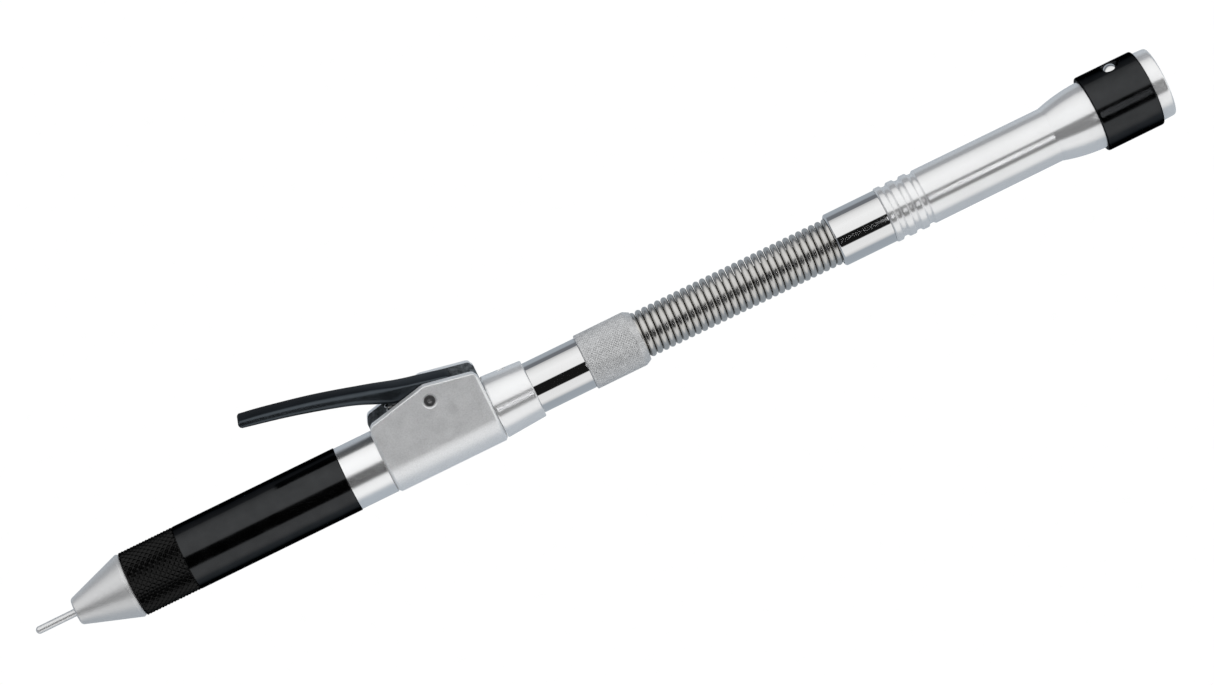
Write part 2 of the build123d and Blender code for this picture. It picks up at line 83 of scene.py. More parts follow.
MM = 0.001
record = frame["record"]
body_of_node = {node: body for body, nodes in record["behaviour"]["bodies"].items() for node in nodes}
slot_of_node = {row["node"]: row["material_slot"] for row in record["subparts"]}


# ---------------------------------------------------------------- places taken from the CAD nodes


def front(node):
    """Station of a node's front end."""
    return -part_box(node)[1].x / MM


def rear(node):
    """Station of a node's rear end."""
    return -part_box(node)[0].x / MM


def radius(node):
    """Outside radius of a turned node."""
    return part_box(node)[1].z / MM


nose_end = front("grip_sleeve")
grip_radius = radius("grip_sleeve")
grip_end = rear("grip_sleeve")
barrel_radius = radius("barrel")
block_front = front("lever_block")
block_rear = rear("lever_block")
block_radius = radius("lever_block")
band_front = front("retaining_band")
band_rear = rear("retaining_band")
band_radius = radius("retaining_band")
tool_end = rear("end_ring")
pivot_station = (front("pivot_pin") + rear("pivot_pin")) / 2
pivot_height = -(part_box("pivot_pin")[0].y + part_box("pivot_pin")[1].y) / 2 / MM
pivot_radius = (rear("pivot_pin") - front("pivot_pin")) / 2
pivot_point = Vector((-pivot_station, -pivot_height, 0)) * MM
lever_width = 2 * radius("lever")
detent_station = (front("detent_ball") + rear("detent_ball")) / 2
detent_radius = (rear("detent_ball") - front("detent_ball")) / 2
detent_centre = (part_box("detent_ball")[0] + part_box("detent_ball")[1]) / 2
detent_outwards = Vector((0, detent_centre.y, detent_centre.z)).normalized()
detent_foot = Vector((-detent_station * MM, 0, 0))
spring_station = (front("lever_spring") + rear("lever_spring")) / 2

# Sizes that several pieces share, in millimetres.
knurl_end = 24.6
sheath_bore = 5.92
tube_wall_radius = 5.9
bearing_seat = 5.0
cable_bore = 3.2
slot_half = 4.4
socket_radius = 4.75
socket_mouth_radius = 5.92
band_bore = 7.0
ball_lip = 1.45
seam = 0.03
fine_seam = 0.02


# ---------------------------------------------------------------- mesh helpers


def make_object(name, points, faces):
    """Mesh object from points in metres, with smooth shading and sharp edges."""
    mesh = bpy.data.meshes.new(name)
    mesh.from_pydata(np.asarray(points).tolist(), [], faces)
    clean(mesh)
    return placed(name, mesh)


def placed(name, mesh):
    """New object in the scene with a mesh, which gets its shading."""
    shade(mesh)
    piece = bpy.data.objects.new(name, mesh)
    bpy.context.scene.collection.objects.link(piece)
    return piece


def clean(mesh, smallest=0.5e-6):
    """Joins points that coincide, drops edges without a face, and turns the faces outwards."""
    tidy = bmesh.new()
    tidy.from_mesh(mesh)
    bmesh.ops.remove_doubles(tidy, verts=tidy.verts, dist=smallest)
    bmesh.ops.dissolve_degenerate(tidy, edges=tidy.edges, dist=smallest)
    bare = [edge for edge in tidy.edges if not edge.link_faces]
    bmesh.ops.delete(tidy, geom=bare, context="EDGES")
    bmesh.ops.recalc_face_normals(tidy, faces=tidy.faces)
    if tidy.calc_volume(signed=True) < 0:
        bmesh.ops.reverse_faces(tidy, faces=tidy.faces)
    tidy.to_mesh(mesh)
    tidy.free()


def shade(mesh, sharp_angle=32):
    """Smooth shading, except over edges sharper than an angle in degrees."""
    mesh.polygons.foreach_set("use_smooth", [True] * len(mesh.polygons))
    mesh.set_sharp_from_angle(angle=math.radians(sharp_angle))


def softened(outline, corner, steps=5):
    """Closed outline with its corners rounded. A corner's third number replaces the common radius."""
    points = [Vector(p[:2]) for p in outline]
    rounded = []
    for i, here in enumerate(points):
        before = points[i - 1] - here
        after = points[(i + 1) % len(points)] - here
        size = outline[i][2] if len(outline[i]) > 2 else corner
        if size == 0:
            rounded.append(here)
            continue
        reach = min(size, 0.48 * before.length, 0.48 * after.length)
        start = here + before.normalized() * reach
        end = here + after.normalized() * reach
        for step in range(steps + 1):
            t = step / steps
            rounded.append(start * (1 - t) ** 2 + here * (2 * t * (1 - t)) + end * t**2)
    return [(p.x, p.y) for p in rounded]


def sampled(outline, low, high, spacing):
    """Closed outline with extra points, at an even spacing, on runs inside a range of stations."""
    slack = 0.01
    dense = []
    for i, (s, r) in enumerate(outline):
        dense.append((s, r))
        s_next, r_next = outline[(i + 1) % len(outline)]
        inside = low - slack <= min(s, s_next) and max(s, s_next) <= high + slack
        off_axis = max(r, r_next) > 0
        if inside and off_axis and abs(s_next - s) > spacing:
            count = int(abs(s_next - s) / spacing)
            shares = [k / count for k in range(1, count)]
            dense += [(s + (s_next - s) * k, r + (r_next - r) * k) for k in shares]
    return dense


def supported(outline, margin=0.12):
    """Closed outline with a point near both ends of each long run, which keeps the run's shading even."""
    held = []
    for i, (s, r) in enumerate(outline):
        held.append((s, r))
        s_next, r_next = outline[(i + 1) % len(outline)]
        share = margin / max(math.hypot(s_next - s, r_next - r), 1e-9)
        if share < 0.25 and (r or r_next):
            held += [(s + (s_next - s) * k, r + (r_next - r) * k) for k in (share, 1 - share)]
    return held


def grid_faces(rows, columns, close_rows=True):
    """Quads of a grid of points whose columns close on themselves, and whose rows do if asked."""
    last = rows if close_rows else rows - 1
    i, j = np.meshgrid(np.arange(last), np.arange(columns), indexing="ij")
    down = (i + 1) % rows
    right = (j + 1) % columns
    corners = (i * columns + j, i * columns + right, down * columns + right, down * columns + j)
    return np.stack(corners, axis=-1).reshape(-1, 4).tolist()


def turned(name, outline, corner=0.06, around=192, relief=None, zone=None):
    """Piece turned about the tool's axis. relief(station, angle) lowers its outside. A zone of (low station,
    high station, spacing) gets extra points for the relief, or for a bend."""
    outer_skin = 0.4
    loop = supported(softened(outline, corner))
    if zone:
        loop = sampled(loop, zone[0], zone[1], zone[2])
    profile = np.array(loop)
    angle = np.arange(around) * 2 * math.pi / around
    station = np.repeat(profile[:, :1], around, axis=1)
    reach = np.repeat(profile[:, 1:], around, axis=1)
    if relief:
        outside = (profile[:, 1] > profile[:, 1].max() - outer_skin)[:, None]
        reach = reach - np.where(outside, relief(station, angle[None, :]), 0)
    points = np.stack([-station, reach * np.cos(angle), reach * np.sin(angle)], axis=-1) * MM
    faces = grid_faces(len(profile), around)
    return make_object(name, points.reshape(-1, 3), faces)


def combine(piece, other, operation="DIFFERENCE"):
    """Takes another shape out of a piece, or adds it with UNION, and removes the other object."""
    modifier = piece.modifiers.new("combine", "BOOLEAN")
    modifier.operation = operation
    modifier.object = other
    modifier.solver = "EXACT"
    evaluated = piece.evaluated_get(bpy.context.evaluated_depsgraph_get())
    mesh = bpy.data.meshes.new_from_object(evaluated)
    piece.modifiers.clear()
    piece.data = mesh
    bpy.data.objects.remove(other)
    clean(mesh)
    shade(mesh)


def turned_about(name, outline, origin, direction, around=64, corner=0.03):
    """Piece turned about a line: outline pairs are (distance along the line, radius), origin in metres."""
    piece = turned(name, [(-p[0], *p[1:]) for p in outline], corner, around)
    turn = Vector((1, 0, 0)).rotation_difference(Vector(direction)).to_matrix().to_4x4()
    piece.data.transform(Matrix.Translation(origin) @ turn)
    return piece


def joined(name, pieces):
    """One object with the meshes of several, which are removed."""
    whole = bmesh.new()
    for piece in pieces:
        whole.from_mesh(piece.data)
        bpy.data.objects.remove(piece)
    mesh = bpy.data.meshes.new(name)
    whole.to_mesh(mesh)
    whole.free()
    return placed(name, mesh)


def box(name, low, high):
    """Block between two corners, given as (station, height, z) in millimetres."""
    stations, heights, sides = zip(low, high)
    points = [(-s * MM, -h * MM, z * MM) for s in stations for h in heights for z in sides]
    faces = [(0, 1, 3, 2), (4, 6, 7, 5), (0, 4, 5, 1), (2, 3, 7, 6), (0, 2, 6, 4), (1, 5, 7, 3)]
    return make_object(name, points, faces)


def coil(name, front_station, pitch, turns, coil_radius, wire, per_turn=56, round_wire=14):
    """Left-hand coil of round wire about the tool's axis."""
    steps = int(turns * per_turn)
    turn = np.linspace(0, turns * 2 * math.pi, steps + 1)
    outward = np.stack([np.zeros_like(turn), np.cos(turn), np.sin(turn)], axis=-1)
    centre = outward * coil_radius
    centre[:, 0] = -(front_station + pitch * turn / (2 * math.pi))
    along = np.gradient(centre, axis=0)
    along /= np.linalg.norm(along, axis=1)[:, None]
    across = np.cross(along, outward)
    angle = np.arange(round_wire) * 2 * math.pi / round_wire
    rings = (
        centre[:, None]
        + wire * np.cos(angle)[None, :, None] * outward[:, None]
        + wire * np.sin(angle)[None, :, None] * across[:, None]
    )
    faces = grid_faces(steps + 1, round_wire, close_rows=False)
    last = steps * round_wire
    faces += [list(range(round_wire)), [last + k for k in range(round_wire)]]
    piece = make_object(name, rings.reshape(-1, 3) * MM, faces)
    shade(piece.data, 60)
    return piece


def smooth_line(knots, steps=10):
    """Smooth curve through knots, by Catmull-Rom."""
    points = [np.array(k, float) for k in knots]
    ends = [2 * points[0] - points[1], *points, 2 * points[-1] - points[-2]]
    line = []
    for a, b, c, d in zip(ends, ends[1:], ends[2:], ends[3:]):
        for k in range(steps):
            t = k / steps
            square, cube = 2 * a - 5 * b + 4 * c - d, 3 * b - a - 3 * c + d
            line.append(0.5 * (2 * b + (c - a) * t + square * t**2 + cube * t**3))
    line.append(points[-1])
    return [tuple(p) for p in line]


def inset(loop, distance):
    """Closed loop of 2-D points moved inwards by a distance."""
    points = np.array(loop, float)
    ahead = np.roll(points, -1, axis=0) - points
    ahead /= np.maximum(np.linalg.norm(ahead, axis=1), 1e-9)[:, None]
    behind = np.roll(ahead, 1, axis=0)
    direction = ahead + behind
    direction /= np.maximum(np.linalg.norm(direction, axis=1), 1e-9)[:, None]
    normal = np.stack([-direction[:, 1], direction[:, 0]], axis=-1)
    nexts = np.roll(points, -1, axis=0)
    area = np.sum(points[:, 0] * nexts[:, 1] - nexts[:, 0] * points[:, 1])
    return points + normal * distance * np.sign(area)


def slab(name, outline, half_width, edge, steps=6):
    """Slab between z = -half_width and half_width, from a closed (station, height) outline. Its edges are
    rounded by one radius, or by a radius for each point of the outline."""
    size = np.broadcast_to(np.asarray(edge, float), len(outline))
    quarter = [math.pi / 2 * k / steps for k in range(steps + 1)]
    levels = [(-1, math.sin(a), math.cos(a)) for a in reversed(quarter)]
    levels += [(1, math.sin(a), math.cos(a)) for a in quarter]
    rings = []
    for side, sine, cosine in levels:
        ring = inset(outline, (size * (1 - cosine))[:, None])
        z = side * (half_width - size * (1 - sine))
        rings.append(np.column_stack([-ring[:, 0], -ring[:, 1], z]))
    points = np.concatenate(rings) * MM
    count = len(outline)
    faces = grid_faces(len(levels), count, close_rows=False)
    last = (len(levels) - 1) * count
    faces += [list(range(count)), [last + k for k in range(count)]]
    return make_object(name, points, faces)


# ---------------------------------------------------------------- material helpers


class Nodes:
    """A node tree that is filled from its inputs to its output."""

    def __init__(self, owner):
        owner.use_nodes = True
        self.tree = owner.node_tree

    def add(self, kind, inputs=None, **settings):
        """Adds a node. Inputs are numbers, colours or other nodes' sockets."""
        made = self.tree.nodes.new(kind)
        for name, value in settings.items():
            setattr(made, name, value)
        for key, value in (inputs or {}).items():
            self.feed(made.inputs[key], value)
        return made

    def feed(self, socket, value):
        if isinstance(value, bpy.types.NodeSocket):
            self.tree.links.new(value, socket)
        else:
            socket.default_value = value

    def maths(self, operation, a, b=0.0, c=0.0):
        return self.add("ShaderNodeMath", {0: a, 1: b, 2: c}, operation=operation).outputs[0]

    def spread(self, value, low, high, start=0.3, stop=0.7):
        """Value from start to stop, taken to low to high."""
        inputs = {"Value": value, "From Min": start, "From Max": stop, "To Min": low, "To Max": high}
        return self.add("ShaderNodeMapRange", inputs).outputs[0]

    def bands(self, value, stops, low, high):
        """Colour by value from low to high, straight from one (value, colour) stop to the next."""
        ramp = self.add("ShaderNodeValToRGB", {0: self.spread(value, 0, 1, low, high)})
        marks = ramp.color_ramp.elements
        while len(marks) < len(stops):
            marks.new(0.5)
        for mark, (place, colour) in zip(marks, stops):
            mark.position = (place - low) / (high - low)
            mark.color = (*colour, 1)
        return ramp.outputs["Color"]

    def mix(self, share, first, second):
        """Blend of two shaders."""
        return self.add("ShaderNodeMixShader", {0: share, 1: first, 2: second}).outputs[0]

    def seen(self):
        """One for what the camera sees itself, none for reflections and light."""
        return self.add("ShaderNodeLightPath").outputs["Is Camera Ray"]


class Surface(Nodes):
    """A material's node tree, round one Principled shader, with coordinates in the tool's own frame."""

    def __init__(self, name, colour, metallic, roughness, specular=0.5):
        self.material = bpy.data.materials.new(name)
        super().__init__(self.material)
        self.shader = self.tree.nodes["Principled BSDF"]
        self.place = self.add("ShaderNodeTexCoord").outputs["Object"]
        self.x, self.y, self.z = self.add("ShaderNodeSeparateXYZ", {0: self.place}).outputs
        self.set("Base Color", (*colour, 1))
        self.set("Metallic", metallic)
        self.set("Roughness", roughness)
        self.set("Specular IOR Level", specular)

    def set(self, name, value):
        self.feed(self.shader.inputs[name], value)

    def noise(self, per_mm, detail=3.0, roughness=0.55):
        """Noise with a number of features per millimetre."""
        inputs = {"Vector": self.place, "Scale": per_mm / MM, "Detail": detail, "Roughness": roughness}
        return self.add("ShaderNodeTexNoise", inputs).outputs["Fac"]

    def rings(self, per_mm, detail=4.0):
        """Noise that changes only along the tool's axis, as a cutter's marks do."""
        inputs = {"W": self.x, "Scale": per_mm / MM, "Detail": detail, "Roughness": 0.65}
        return self.add("ShaderNodeTexNoise", inputs, noise_dimensions="1D").outputs["Fac"]

    def shades(self, value, dark, light, start=0.3, stop=0.7):
        """Colour from dark to light as a value goes from start to stop."""
        return self.bands(value, ((start, dark), (stop, light)), 0, 1)

    def bump(self, height, depth_mm):
        """Small relief on the shader's normal."""
        inputs = {"Height": height, "Distance": depth_mm * MM, "Strength": 1.0}
        self.set("Normal", self.add("ShaderNodeBump", inputs).outputs["Normal"])

    def patch(self, inside, colour):
        """Another base colour where inside is one."""
        plain = self.shader.inputs["Base Color"].links[0].from_socket
        both = self.add("ShaderNodeMix", {"Factor": inside, "A": plain, "B": colour}, data_type="RGBA")
        self.set("Base Color", both.outputs["Result"])


def grey(level, blue=1.0):
    """Neutral colour, or a slightly bluish one."""
    return (level, level * (1 + (blue - 1) / 2), level * blue)


# ---------------------------------------------------------------- materials


def turned_metal(name, level, roughness, ring_depth, spread=0.05, metallic=1.0):
    """Lathe-turned metal: fine rings round the axis, and a light haze that varies along it."""
    surface = Surface(name, grey(level), metallic, roughness)
    marks = surface.rings(5.0)
    haze = surface.noise(0.12, 2.0)
    surface.set("Base Color", surface.shades(haze, grey(level * 0.95, 1.01), grey(level, 1.015)))
    mixed = surface.maths("ADD", marks, surface.maths("MULTIPLY", haze, 0.5))
    surface.set("Roughness", surface.spread(mixed, roughness - spread, roughness + spread, 0.45, 1.05))
    surface.bump(marks, ring_depth)
    return surface.material


def polished_metal(name, level, roughness):
    """Plated and buffed metal, with faint wiping marks."""
    surface = Surface(name, grey(level, 1.01), 1.0, roughness)
    wiped = surface.noise(0.25, 5.0)
    fine = surface.noise(6.0, 2.0)
    surface.set("Roughness", surface.spread(wiped, roughness * 0.7, roughness * 1.5))
    surface.set("Base Color", surface.shades(fine, grey(level * 0.97), grey(level, 1.01)))
    surface.bump(wiped, 0.0015)
    return surface.material


def blasted_metal(name, level, roughness, grains_per_mm=6.0, depth=0.008, metallic=0.6, contrast=0.1):
    """Bead-blasted metal: a close even grain, lightly mottled."""
    surface = Surface(name, grey(level), metallic, roughness)
    grain = surface.noise(grains_per_mm, 2.0)
    blotch = surface.noise(0.45, 3.0)
    tone = surface.maths("MULTIPLY_ADD", grain, 0.85, surface.maths("MULTIPLY", blotch, 0.15))
    dark = grey(level * (1 - contrast), 1.02)
    light = grey(min(1.0, level * (1 + contrast)), 1.02)
    surface.set("Base Color", surface.shades(tone, dark, light))
    surface.set("Roughness", surface.spread(blotch, roughness - 0.04, roughness + 0.05))
    surface.bump(grain, depth)
    return surface


def metal_with_painted_slot_shade(name):
    """The block's blasted metal, with painted shade on the milled walls and floor of its slot: a mottled dark
    bluish grey base colour in place of the shade inside the slot.
    """
    surface = blasted_metal(name, 0.94, 0.36, grains_per_mm=3.5, metallic=0.55)
    wall = (slot_half + 0.1) * MM
    between = surface.maths("LESS_THAN", surface.maths("ABSOLUTE", surface.z), wall)
    on_lever_side = surface.maths("LESS_THAN", surface.y, 0.0)
    inside = surface.maths("MULTIPLY", between, on_lever_side)
    # Painted shade: the slot's walls and floor get a dark base colour that stands in for the shade inside the
    # slot.
    surface.patch(inside, surface.shades(surface.noise(1.4, 4.0), grey(0.09, 1.2), grey(0.34, 1.2)))
    return surface.material


def black_finish(name, level, edge, roughness, depth=0.003, rings_per_mm=None, blue=1.08):
    """Black anodised or painted metal, with a fine texture and a little uneven gloss."""
    surface = Surface(name, grey(level, blue), 1.0, roughness)
    surface.set("Specular Tint", (*grey(edge), 1))
    texture = surface.noise(9.0, 3.0) if rings_per_mm is None else surface.rings(rings_per_mm)
    wear = surface.noise(0.3, 4.0)
    surface.set("Base Color", surface.shades(wear, grey(level * 0.9, blue), grey(level * 1.12, blue)))
    surface.set("Roughness", surface.spread(wear, roughness - 0.03, roughness + 0.04))
    surface.bump(texture, depth)
    return surface


def knurled_black_with_painted_shade(name):
    """The sleeve's black finish, duller on the knurl, where its base colour is darkened as painted shade
    for the light that the knurl's grooves trap.
    """
    surface = black_finish(name, *anodised, rings_per_mm=6.0)
    gloss = surface.shader.inputs["Roughness"].links[0].from_socket
    on_knurl = surface.maths("GREATER_THAN", surface.x, -knurl_end * MM)
    # Painted shade: the knurl's base colour is darkened to stand in for the light its grooves trap.
    surface.patch(on_knurl, (*grey(0.017), 1))
    surface.set("Roughness", surface.maths("MULTIPLY_ADD", on_knurl, 0.12, gloss))
    return surface.material


def wire_metal(name, level, roughness):
    """Drawn spring wire, a little warm, with dull patches left by the die."""
    surface = Surface(name, (level, level * 0.985, level * 0.95), 1.0, roughness)
    drawn = surface.noise(1.2, 3.0)
    dull = (level * 0.88, level * 0.865, level * 0.83)
    surface.set("Base Color", surface.shades(drawn, dull, (level, level * 0.99, level * 0.97)))
    surface.set("Roughness", surface.spread(drawn, roughness - 0.04, roughness + 0.05))
    surface.bump(surface.noise(9.0, 2.0), 0.001)
    return surface.material


def stamped_brass(name):
    """Pressed brass sheet, a little tarnished."""
    surface = Surface(name, (0.72, 0.56, 0.28), 1.0, 0.3)
    tarnish = surface.noise(0.9, 4.0)
    surface.set("Base Color", surface.shades(tarnish, (0.46, 0.32, 0.14), (0.76, 0.58, 0.29)))
    surface.set("Roughness", surface.spread(tarnish, 0.42, 0.26))
    surface.bump(surface.noise(5.0, 3.0), 0.006)
    return surface.material


def soft_plastic(name, colour, roughness):
    """Slightly waxy extruded plastic."""
    surface = Surface(name, colour, 0.0, roughness)
    cloud = surface.noise(0.8, 4.0)
    dark = tuple(c * 0.94 for c in colour)
    surface.set("Base Color", surface.shades(cloud, dark, colour))
    surface.set("Roughness", surface.spread(cloud, roughness - 0.05, roughness + 0.05))
    surface.bump(surface.rings(3.0), 0.004)
    surface.shader.inputs["Subsurface Weight"].default_value = 0.05
    return surface.material


def felt_fibres(name, colour):
    """Pressed felt: short fibres in every direction."""
    surface = Surface(name, colour, 0.0, 0.95)
    fibres = surface.noise(8.0, 6.0, roughness=0.75)
    dark = tuple(c * 0.6 for c in colour)
    surface.set("Base Color", surface.shades(fibres, dark, colour))
    surface.shader.inputs["Sheen Weight"].default_value = 0.4
    surface.bump(fibres, 0.06)
    return surface.material


# Level, edge level, roughness and depth of texture of the black anodised pieces.
anodised = (0.04, 0.15, 0.14, 0.0015)
finishes = {
    "satin_alloy": turned_metal("satin_alloy", 0.92, 0.18, 0.0005, spread=0.03, metallic=0.64),
    "blasted_alloy": blasted_metal("blasted_alloy", 0.90, 0.36, grains_per_mm=3.5).material,
    "black_anodised": black_finish("black_anodised", *anodised, rings_per_mm=6.0).material,
    "black_lever": black_finish("black_lever", 0.06, 0.4, 0.34, blue=1.35).material,
    "chrome": polished_metal("chrome", 0.77, 0.05),
    "satin_chrome": turned_metal("satin_chrome", 0.92, 0.22, 0.0005, spread=0.03, metallic=0.88),
    "steel": turned_metal("steel", 0.66, 0.24, 0.003),
    "spring_steel": wire_metal("spring_steel", 0.60, 0.24),
    "cage_brass": stamped_brass("cage_brass"),
    "white_liner": soft_plastic("white_liner", (0.80, 0.80, 0.76), 0.45),
    "felt": felt_fibres("felt", (0.62, 0.60, 0.54)),
}
nose_finish = turned_metal("dull_alloy", 0.74, 0.38, 0.003, metallic=0.58)
collar_finish = turned_metal("bright_satin", 0.96, 0.2, 0.0005, spread=0.03, metallic=0.62)
sleeve_finish_with_painted_shade = knurled_black_with_painted_shade("knurled_black_with_painted_shade")
knurl_finish = blasted_metal("knurled_alloy", 0.66, 0.46, 1.8, 0.012, metallic=0.5, contrast=0.15).material
block_finish_with_painted_shade = metal_with_painted_slot_shade("alloy_with_painted_slot_shade")
pin_finish = turned_metal("blued_steel", 0.16, 0.3, 0.003, metallic=0.9)
shank_finish = turned_metal("ground_steel", 0.80, 0.36, 0.002, metallic=0.7)


# ---------------------------------------------------------------- placing pieces


def stand_in(piece, node, material=None):
    """The piece takes the place of a CAD node: it hides the node, rides with the node's body and gets the
    material of the node's slot, or the one given.
    """
    dress(piece, material or finishes[slot_of_node[node]])
    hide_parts(node)
    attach(piece, body_of_node[node])
    return piece


def bends_with_neck(piece, node):
    """The piece takes the place of a CAD node: it hides the node and gets the material of the node's slot,
    and its own transform is baked into its mesh.
    """
    dress(piece, finishes[slot_of_node[node]])
    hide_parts(node)
    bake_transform(piece)
    return piece


def dress(piece, material):
    """The piece has this one material."""
    piece.data.materials.clear()
    piece.data.materials.append(material)


# ---------------------------------------------------------------- nose and grip


def tool_pin():
    """Round-nosed working pin and the shank behind it."""
    tip, end, shank = front("tool_pin"), rear("tool_pin"), radius("tool_pin")
    size, bevel = 0.8, 0.2
    turn = np.linspace(0, math.pi / 2, 11)
    dome = [(tip + size * (1 - math.cos(a)), size * math.sin(a), 0.0) for a in turn]
    outline = [*dome, (0.0, size, 0.0), (0.0, shank)]
    outline += [(end - bevel, shank), (end, shank - bevel), (end, 0.0)]
    stand_in(turned("tool_pin_round_nosed", outline, 0.02, 72), "tool_pin", shank_finish)


def nose():
    """Tapered nose: a flat front with a small bevel, a straight cone and a short land at its rear."""
    tip, bevel, cone_end = 2.9, 0.3, 11.85
    thread_end, seal_end, seal_front = 18.0, 6.0, 1.2
    thread, bore, seal_bore, mouth = 4.98, 4.0, 3.0, 2.3
    outline = [
        (0.0, tip - bevel, 0.05),
        (bevel, tip, 0.12),
        (cone_end, grip_radius, 0.1),
        (nose_end - seam, grip_radius - 0.36, 0.05),
        (nose_end - seam, thread),
        (thread_end, thread),
        (thread_end, bore),
        (seal_end, bore),
        (seal_end, seal_bore),
        (seal_front, seal_bore),
        (seal_front, mouth),
        (0.0, mouth),
    ]
    stand_in(turned("nose_cone_turned", outline, 0.05), "nose_cone", nose_finish)


def diamond_knurl(low, high, pitch, count, depth, flat=1.5, run_out=0.4):
    """Relief of a diamond knurl between two stations: V grooves along two opposite helices."""

    def relief(station, angle):
        along = station / pitch
        about = angle * count / (2 * math.pi)
        one = np.abs(np.mod(along + about, 1.0) - 0.5) * 2
        other = np.abs(np.mod(along - about, 1.0) - 0.5) * 2
        height = np.minimum(1.0, flat * np.minimum(one, other))
        fade = np.clip((station - low) / run_out, 0, 1) * np.clip((high - station) / run_out, 0, 1)
        return depth * (1 - height) * fade

    return relief


def grip():
    """Black sleeve, smooth behind a knurled front band."""
    pitch = 1.33
    samples = 12
    count = 32
    outline = [
        (nose_end, grip_radius, 0.08),
        (knurl_end, grip_radius, 0.0),
        (grip_end, grip_radius, 0.12),
        (grip_end, sheath_bore),
        (nose_end, sheath_bore),
    ]
    sleeve = turned(
        "grip_sleeve_knurled",
        outline,
        0.03,
        around=count * samples,
        relief=diamond_knurl(nose_end, knurl_end, pitch, count, 0.32, 1.2),
        zone=(nose_end, knurl_end, pitch / samples),
    )
    stand_in(sleeve, "grip_sleeve", sleeve_finish_with_painted_shade)


# ---------------------------------------------------------------- barrel, lever block and lever


def barrel():
    """Chromed barrel between grip and block, with the tube under both and the window for the lever's toe."""
    thread, bore = 5.5, 4.7
    front_seat_end, rear_seat_front = 21.0, 89.5
    window_front, window_rear, window_half = 79.4, 86.2, 2.7
    end = rear("barrel")
    outline = [
        (nose_end, tube_wall_radius),
        (grip_end + seam, tube_wall_radius),
        (grip_end + seam, barrel_radius, 0.12),
        (block_front - seam, barrel_radius, 0.12),
        (block_front - seam, tube_wall_radius),
        (block_rear, tube_wall_radius),
        (block_rear, thread),
        (end, thread),
        (end, bearing_seat),
        (rear_seat_front, bearing_seat),
        (rear_seat_front, bore),
        (front_seat_end, bore),
        (front_seat_end, bearing_seat),
        (nose_end, bearing_seat),
    ]
    piece = turned("barrel_chromed", outline, 0.04)
    window = box("window", (window_front, 3.9, -window_half), (window_rear, 7.5, window_half))
    combine(piece, window)
    stand_in(piece, "barrel")


def arc(start, middle, end, steps=12):
    """Points along the circular arc through three (station, radius) points."""
    (ax, ay), (bx, by), (cx, cy) = start, middle, end
    scale = 2 * (ax * (by - cy) + bx * (cy - ay) + cx * (ay - by))
    a, b, c = ax**2 + ay**2, bx**2 + by**2, cx**2 + cy**2
    x = (a * (by - cy) + b * (cy - ay) + c * (ay - by)) / scale
    y = (a * (cx - bx) + b * (ax - cx) + c * (bx - ax)) / scale
    size = math.hypot(ax - x, ay - y)
    turn = np.unwrap([math.atan2(v - y, u - x) for u, v in (start, middle, end)])
    angles = np.linspace(turn[0], turn[2], steps)
    return [(x + size * math.cos(t), y + size * math.sin(t), 0) for t in angles]


def cheek_height(station):
    """Height of the block's cheeks over the axis, with the corners of their outline eased."""
    knots = ((block_front, 7.6), (69.3, 9.0), (82.0, 11.7), (91.8, 9.7), (block_rear, 9.0))
    stations, heights = zip(*knots)
    ease = np.linspace(-0.3, 0.3, 7)
    return float(np.mean(np.interp(station + ease, stations, heights)))


def block_section(height, depth):
    """Closed section of the solid block, moved inwards by a depth: straight cheeks and a round back."""
    half = block_radius - depth
    corner = 0.3
    back = [(-half * math.sin(a), half * math.cos(a), 0) for a in np.linspace(0, math.pi, 40)]
    loop = [(height - depth, half, corner), *back, (height - depth, -half, corner)]
    return np.array(supported(softened(loop, 0)))


def lever_block():
    """Blasted block round the barrel: two peaked cheeks with bevelled ends, and the lever's slot."""
    bevel, shoulder = 0.6, 0.04
    ends = ((0.0, bevel), (shoulder, bevel - 0.1), (bevel - 0.1, shoulder), (bevel, 0.0))
    levels = [(block_front + run, depth) for run, depth in ends]
    levels += [(s, 0.0) for s in np.linspace(block_front + bevel + 0.2, block_rear - bevel - 0.2, 90)]
    levels += [(block_rear - run, depth) for run, depth in reversed(ends)]
    rings = []
    for station, depth in levels:
        ring = block_section(cheek_height(station), depth)
        rings.append(np.column_stack([np.full(len(ring), -station), -ring[:, 0], ring[:, 1]]))
    count = len(rings[0])
    faces = grid_faces(len(rings), count, close_rows=False)
    last = (len(rings) - 1) * count
    faces += [list(range(count)), [last + k for k in range(count)]]
    piece = make_object("lever_block_milled", np.concatenate(rings) * MM, faces)
    before, behind = block_front - 1, block_rear + 1
    slot_floor, slot_top = 1.0, 15.0
    hole = [(before, 0), (before, sheath_bore), (behind, sheath_bore), (behind, 0)]
    combine(piece, turned("barrel_bore", hole))
    combine(piece, box("lever_slot", (before, slot_floor, -slot_half), (behind, slot_top, slot_half)))
    outside, sunk = block_radius + 0.1, block_radius - 0.35
    wide, narrow, bore = 1.65, 1.2, pivot_radius + fine_seam
    half = [(sunk, bore), (sunk, narrow), (outside, wide), (outside, 0.0)]
    countersunk = [(-along, r) for along, r in reversed(half)] + half
    combine(piece, turned_about("pivot_bore", countersunk, pivot_point, (0, 0, 1), corner=0.02))
    stand_in(piece, "lever_block", block_finish_with_painted_shade)


def pivot_pin():
    """Pin through both cheeks, with a riveted head in each countersink and a punched centre in each head."""
    end = radius("pivot_pin")
    head, head_depth, edge = 1.14, 0.3, 0.12
    half = [(0.0, end - 0.3), (0.3, end - 0.18), (0.5, end), (head - edge, end), (head, end - edge)]
    half += [(head, end - head_depth), (pivot_radius, end - head_depth - edge)]
    outline = [(-along, r) for r, along in half] + [(along, r) for r, along in reversed(half)]
    pin = turned_about("pivot_pin_staked", outline, pivot_point, (0, 0, 1))
    stand_in(pin, "pivot_pin", pin_finish)


